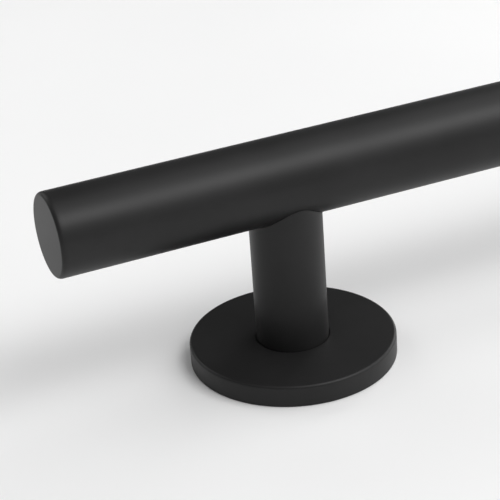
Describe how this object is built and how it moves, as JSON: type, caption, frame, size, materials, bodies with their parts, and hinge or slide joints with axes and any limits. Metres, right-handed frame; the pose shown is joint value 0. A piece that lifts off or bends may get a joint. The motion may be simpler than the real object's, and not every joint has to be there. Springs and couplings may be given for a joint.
{
  "type": "wall grab rail",
  "caption": "Straight round wall grab rail on two coped posts, each with a concealed screw flange under a round slide-up cover plate.",
  "frame": {"origin": "on the wall plane, midway between the two posts", "axes": "+X along the grip, +Z away from the wall, +Y across the grip (up the wall when the rail is fixed level)"},
  "size_m": [0.6, 0.08, 0.091],
  "materials": {
    "black_coating": "fine satin-matt black powder coat on steel",
    "stainless_steel": "turned, uncoated stainless steel",
    "zinc_plated_steel": "bright zinc-plated steel",
    "black_rubber": "matt moulded rubber",
    "black_nylon": "matt turned nylon"
  },
  "bodies": {
    "frame": {"grip_tube": "black_coating", "end_cap_left": "black_coating", "end_cap_right": "black_coating", "post_left": "black_coating", "post_right": "black_coating", "mounting_flange_left": "stainless_steel", "mounting_flange_right": "stainless_steel", "wall_gasket_left": "black_rubber", "wall_gasket_right": "black_rubber", "saddle_nut_left": "stainless_steel", "saddle_nut_right": "stainless_steel", "post_bolt_left": "zinc_plated_steel", "post_bolt_right": "zinc_plated_steel", "lock_washer_left": "zinc_plated_steel", "lock_washer_right": "zinc_plated_steel", "dowel_pins_left": "zinc_plated_steel", "dowel_pins_right": "zinc_plated_steel", "cover_grip_ring_left": "black_rubber", "cover_grip_ring_right": "black_rubber"},
    "cover_guide_left": {"glide_ring_left": "black_nylon"},
    "cover_left": {"cover_plate_left": "black_coating"},
    "cover_guide_right": {"glide_ring_right": "black_nylon"},
    "cover_right": {"cover_plate_right": "black_coating"}
  },
  "joints": [
    {"name": "cover_slide_left", "type": "slide", "parent": "frame", "child": "cover_guide_left", "axis": [0, 0, 1], "range_m": [0, 0.05]},
    {"name": "cover_turn_left", "type": "hinge", "parent": "cover_guide_left", "child": "cover_left", "pos_m": [-0.208, 0, 0.0075], "axis": [0, 0, 1], "continuous": true},
    {"name": "cover_slide_right", "type": "slide", "parent": "frame", "child": "cover_guide_right", "axis": [0, 0, 1], "range_m": [0, 0.05]},
    {"name": "cover_turn_right", "type": "hinge", "parent": "cover_guide_right", "child": "cover_right", "pos_m": [0.208, 0, 0.0075], "axis": [0, 0, 1], "continuous": true}
  ]
}
